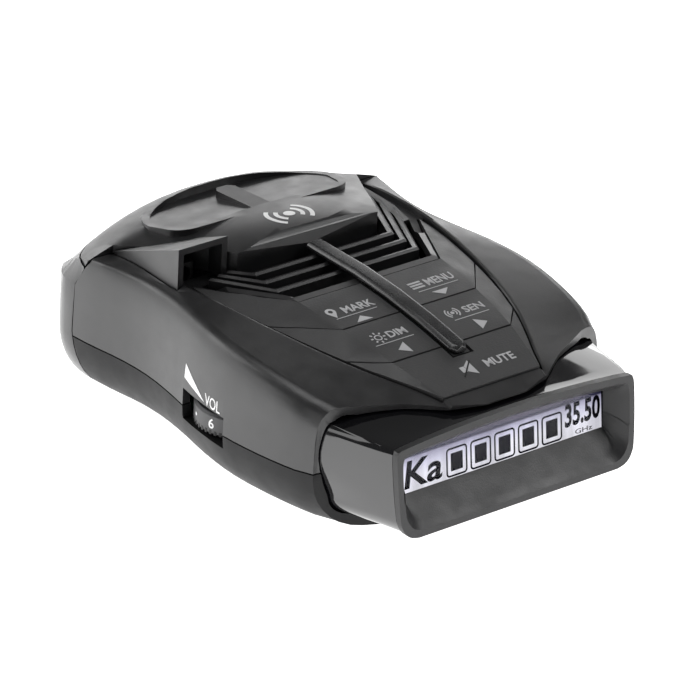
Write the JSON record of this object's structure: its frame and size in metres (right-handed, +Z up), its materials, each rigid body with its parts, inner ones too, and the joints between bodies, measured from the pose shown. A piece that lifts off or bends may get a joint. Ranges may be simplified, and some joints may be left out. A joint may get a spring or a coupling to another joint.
{
  "type": "radar detector",
  "caption": "Dashboard radar detector: low waisted case with raised domed cover, hooded display, ribbed speaker opening, rubber keypad and side volume wheel.",
  "frame": {"origin": "on the resting plane, at the centre of the bounding box in plan", "axes": "+Z up, +Y toward the antenna end (the road ahead), -Y toward the display and the driver, +X to the right when the display is read"},
  "size_m": [0.0782, 0.1057, 0.0386],
  "materials": {
    "case": "satin black moulded plastic, lightly textured",
    "gloss_black": "polished black plastic",
    "rim_grey": "satin mid-grey plastic",
    "keypad_rubber": "matte charcoal rubber with light printed words",
    "trim_bar": "satin charcoal bar with a lighter bevel",
    "window_clear": "clear smoked window",
    "display_panel": "white backlit display with dark segments",
    "diffuser_white": "white light guide",
    "ribbon_film": "amber film",
    "circuit_board": "green solder mask",
    "dark_part": "black moulded part",
    "wheel_black": "black ridged plastic with light numerals",
    "horn_metal": "cast metal",
    "steel": "plated steel",
    "cone_paper": "dark paper"
  },
  "bodies": {
    "casing": {"lower_case": "case", "upper_case": "case", "top_cover": "case", "louver_grille": "case", "port_hood": "case", "nose_lens": "gloss_black", "display_bezel": "gloss_black", "display_rim": "rim_grey", "spine": "trim_bar", "display_lens": "window_clear", "lcd_module": "display_panel", "backlight_panel": "diffuser_white", "display_board": "circuit_board", "display_ribbon": "ribbon_film", "keypad_board": "circuit_board", "main_board": "circuit_board", "inlet_board": "circuit_board", "switch_menu": "dark_part", "switch_sen": "dark_part", "switch_mark": "dark_part", "switch_dim": "dark_part", "switch_mute": "dark_part", "volume_control": "steel", "horn_antenna": "horn_metal", "receiver_shield": "steel", "laser_sensor": "dark_part", "speaker_frame": "steel", "speaker_cone": "cone_paper", "speaker_magnet": "steel", "power_jack": "dark_part", "mount_plate": "steel", "case_screw_front_left": "steel", "case_screw_front_right": "steel", "case_screw_nose_left": "steel", "case_screw_nose_right": "steel"},
    "button_menu": {"button_menu": "keypad_rubber"},
    "button_sen": {"button_sen": "keypad_rubber"},
    "button_mark": {"button_mark": "keypad_rubber"},
    "button_dim": {"button_dim": "keypad_rubber"},
    "button_mute": {"button_mute": "keypad_rubber"},
    "wheel": {"volume_wheel": "wheel_black", "volume_spindle": "steel"}
  },
  "joints": [
    {"name": "menu_press", "type": "slide", "parent": "casing", "child": "button_menu", "axis": [0, 0.165, -0.9863], "range_m": [0, 0.0006], "stiffness_N_per_m": 1500},
    {"name": "sen_press", "type": "slide", "parent": "casing", "child": "button_sen", "axis": [0, 0.165, -0.9863], "range_m": [0, 0.0006], "stiffness_N_per_m": 1500},
    {"name": "mark_press", "type": "slide", "parent": "casing", "child": "button_mark", "axis": [0, 0.165, -0.9863], "range_m": [0, 0.0006], "stiffness_N_per_m": 1500},
    {"name": "dim_press", "type": "slide", "parent": "casing", "child": "button_dim", "axis": [0, 0.165, -0.9863], "range_m": [0, 0.0006], "stiffness_N_per_m": 1500},
    {"name": "mute_press", "type": "slide", "parent": "casing", "child": "button_mute", "axis": [0, 0.165, -0.9863], "range_m": [0, 0.0006], "stiffness_N_per_m": 1500},
    {"name": "volume_turn", "type": "hinge", "parent": "casing", "child": "wheel", "pos_m": [-0.0284, -0.0049, 0.0118], "axis": [0, 0, 1], "range_deg": [-135, 135]}
  ]
}
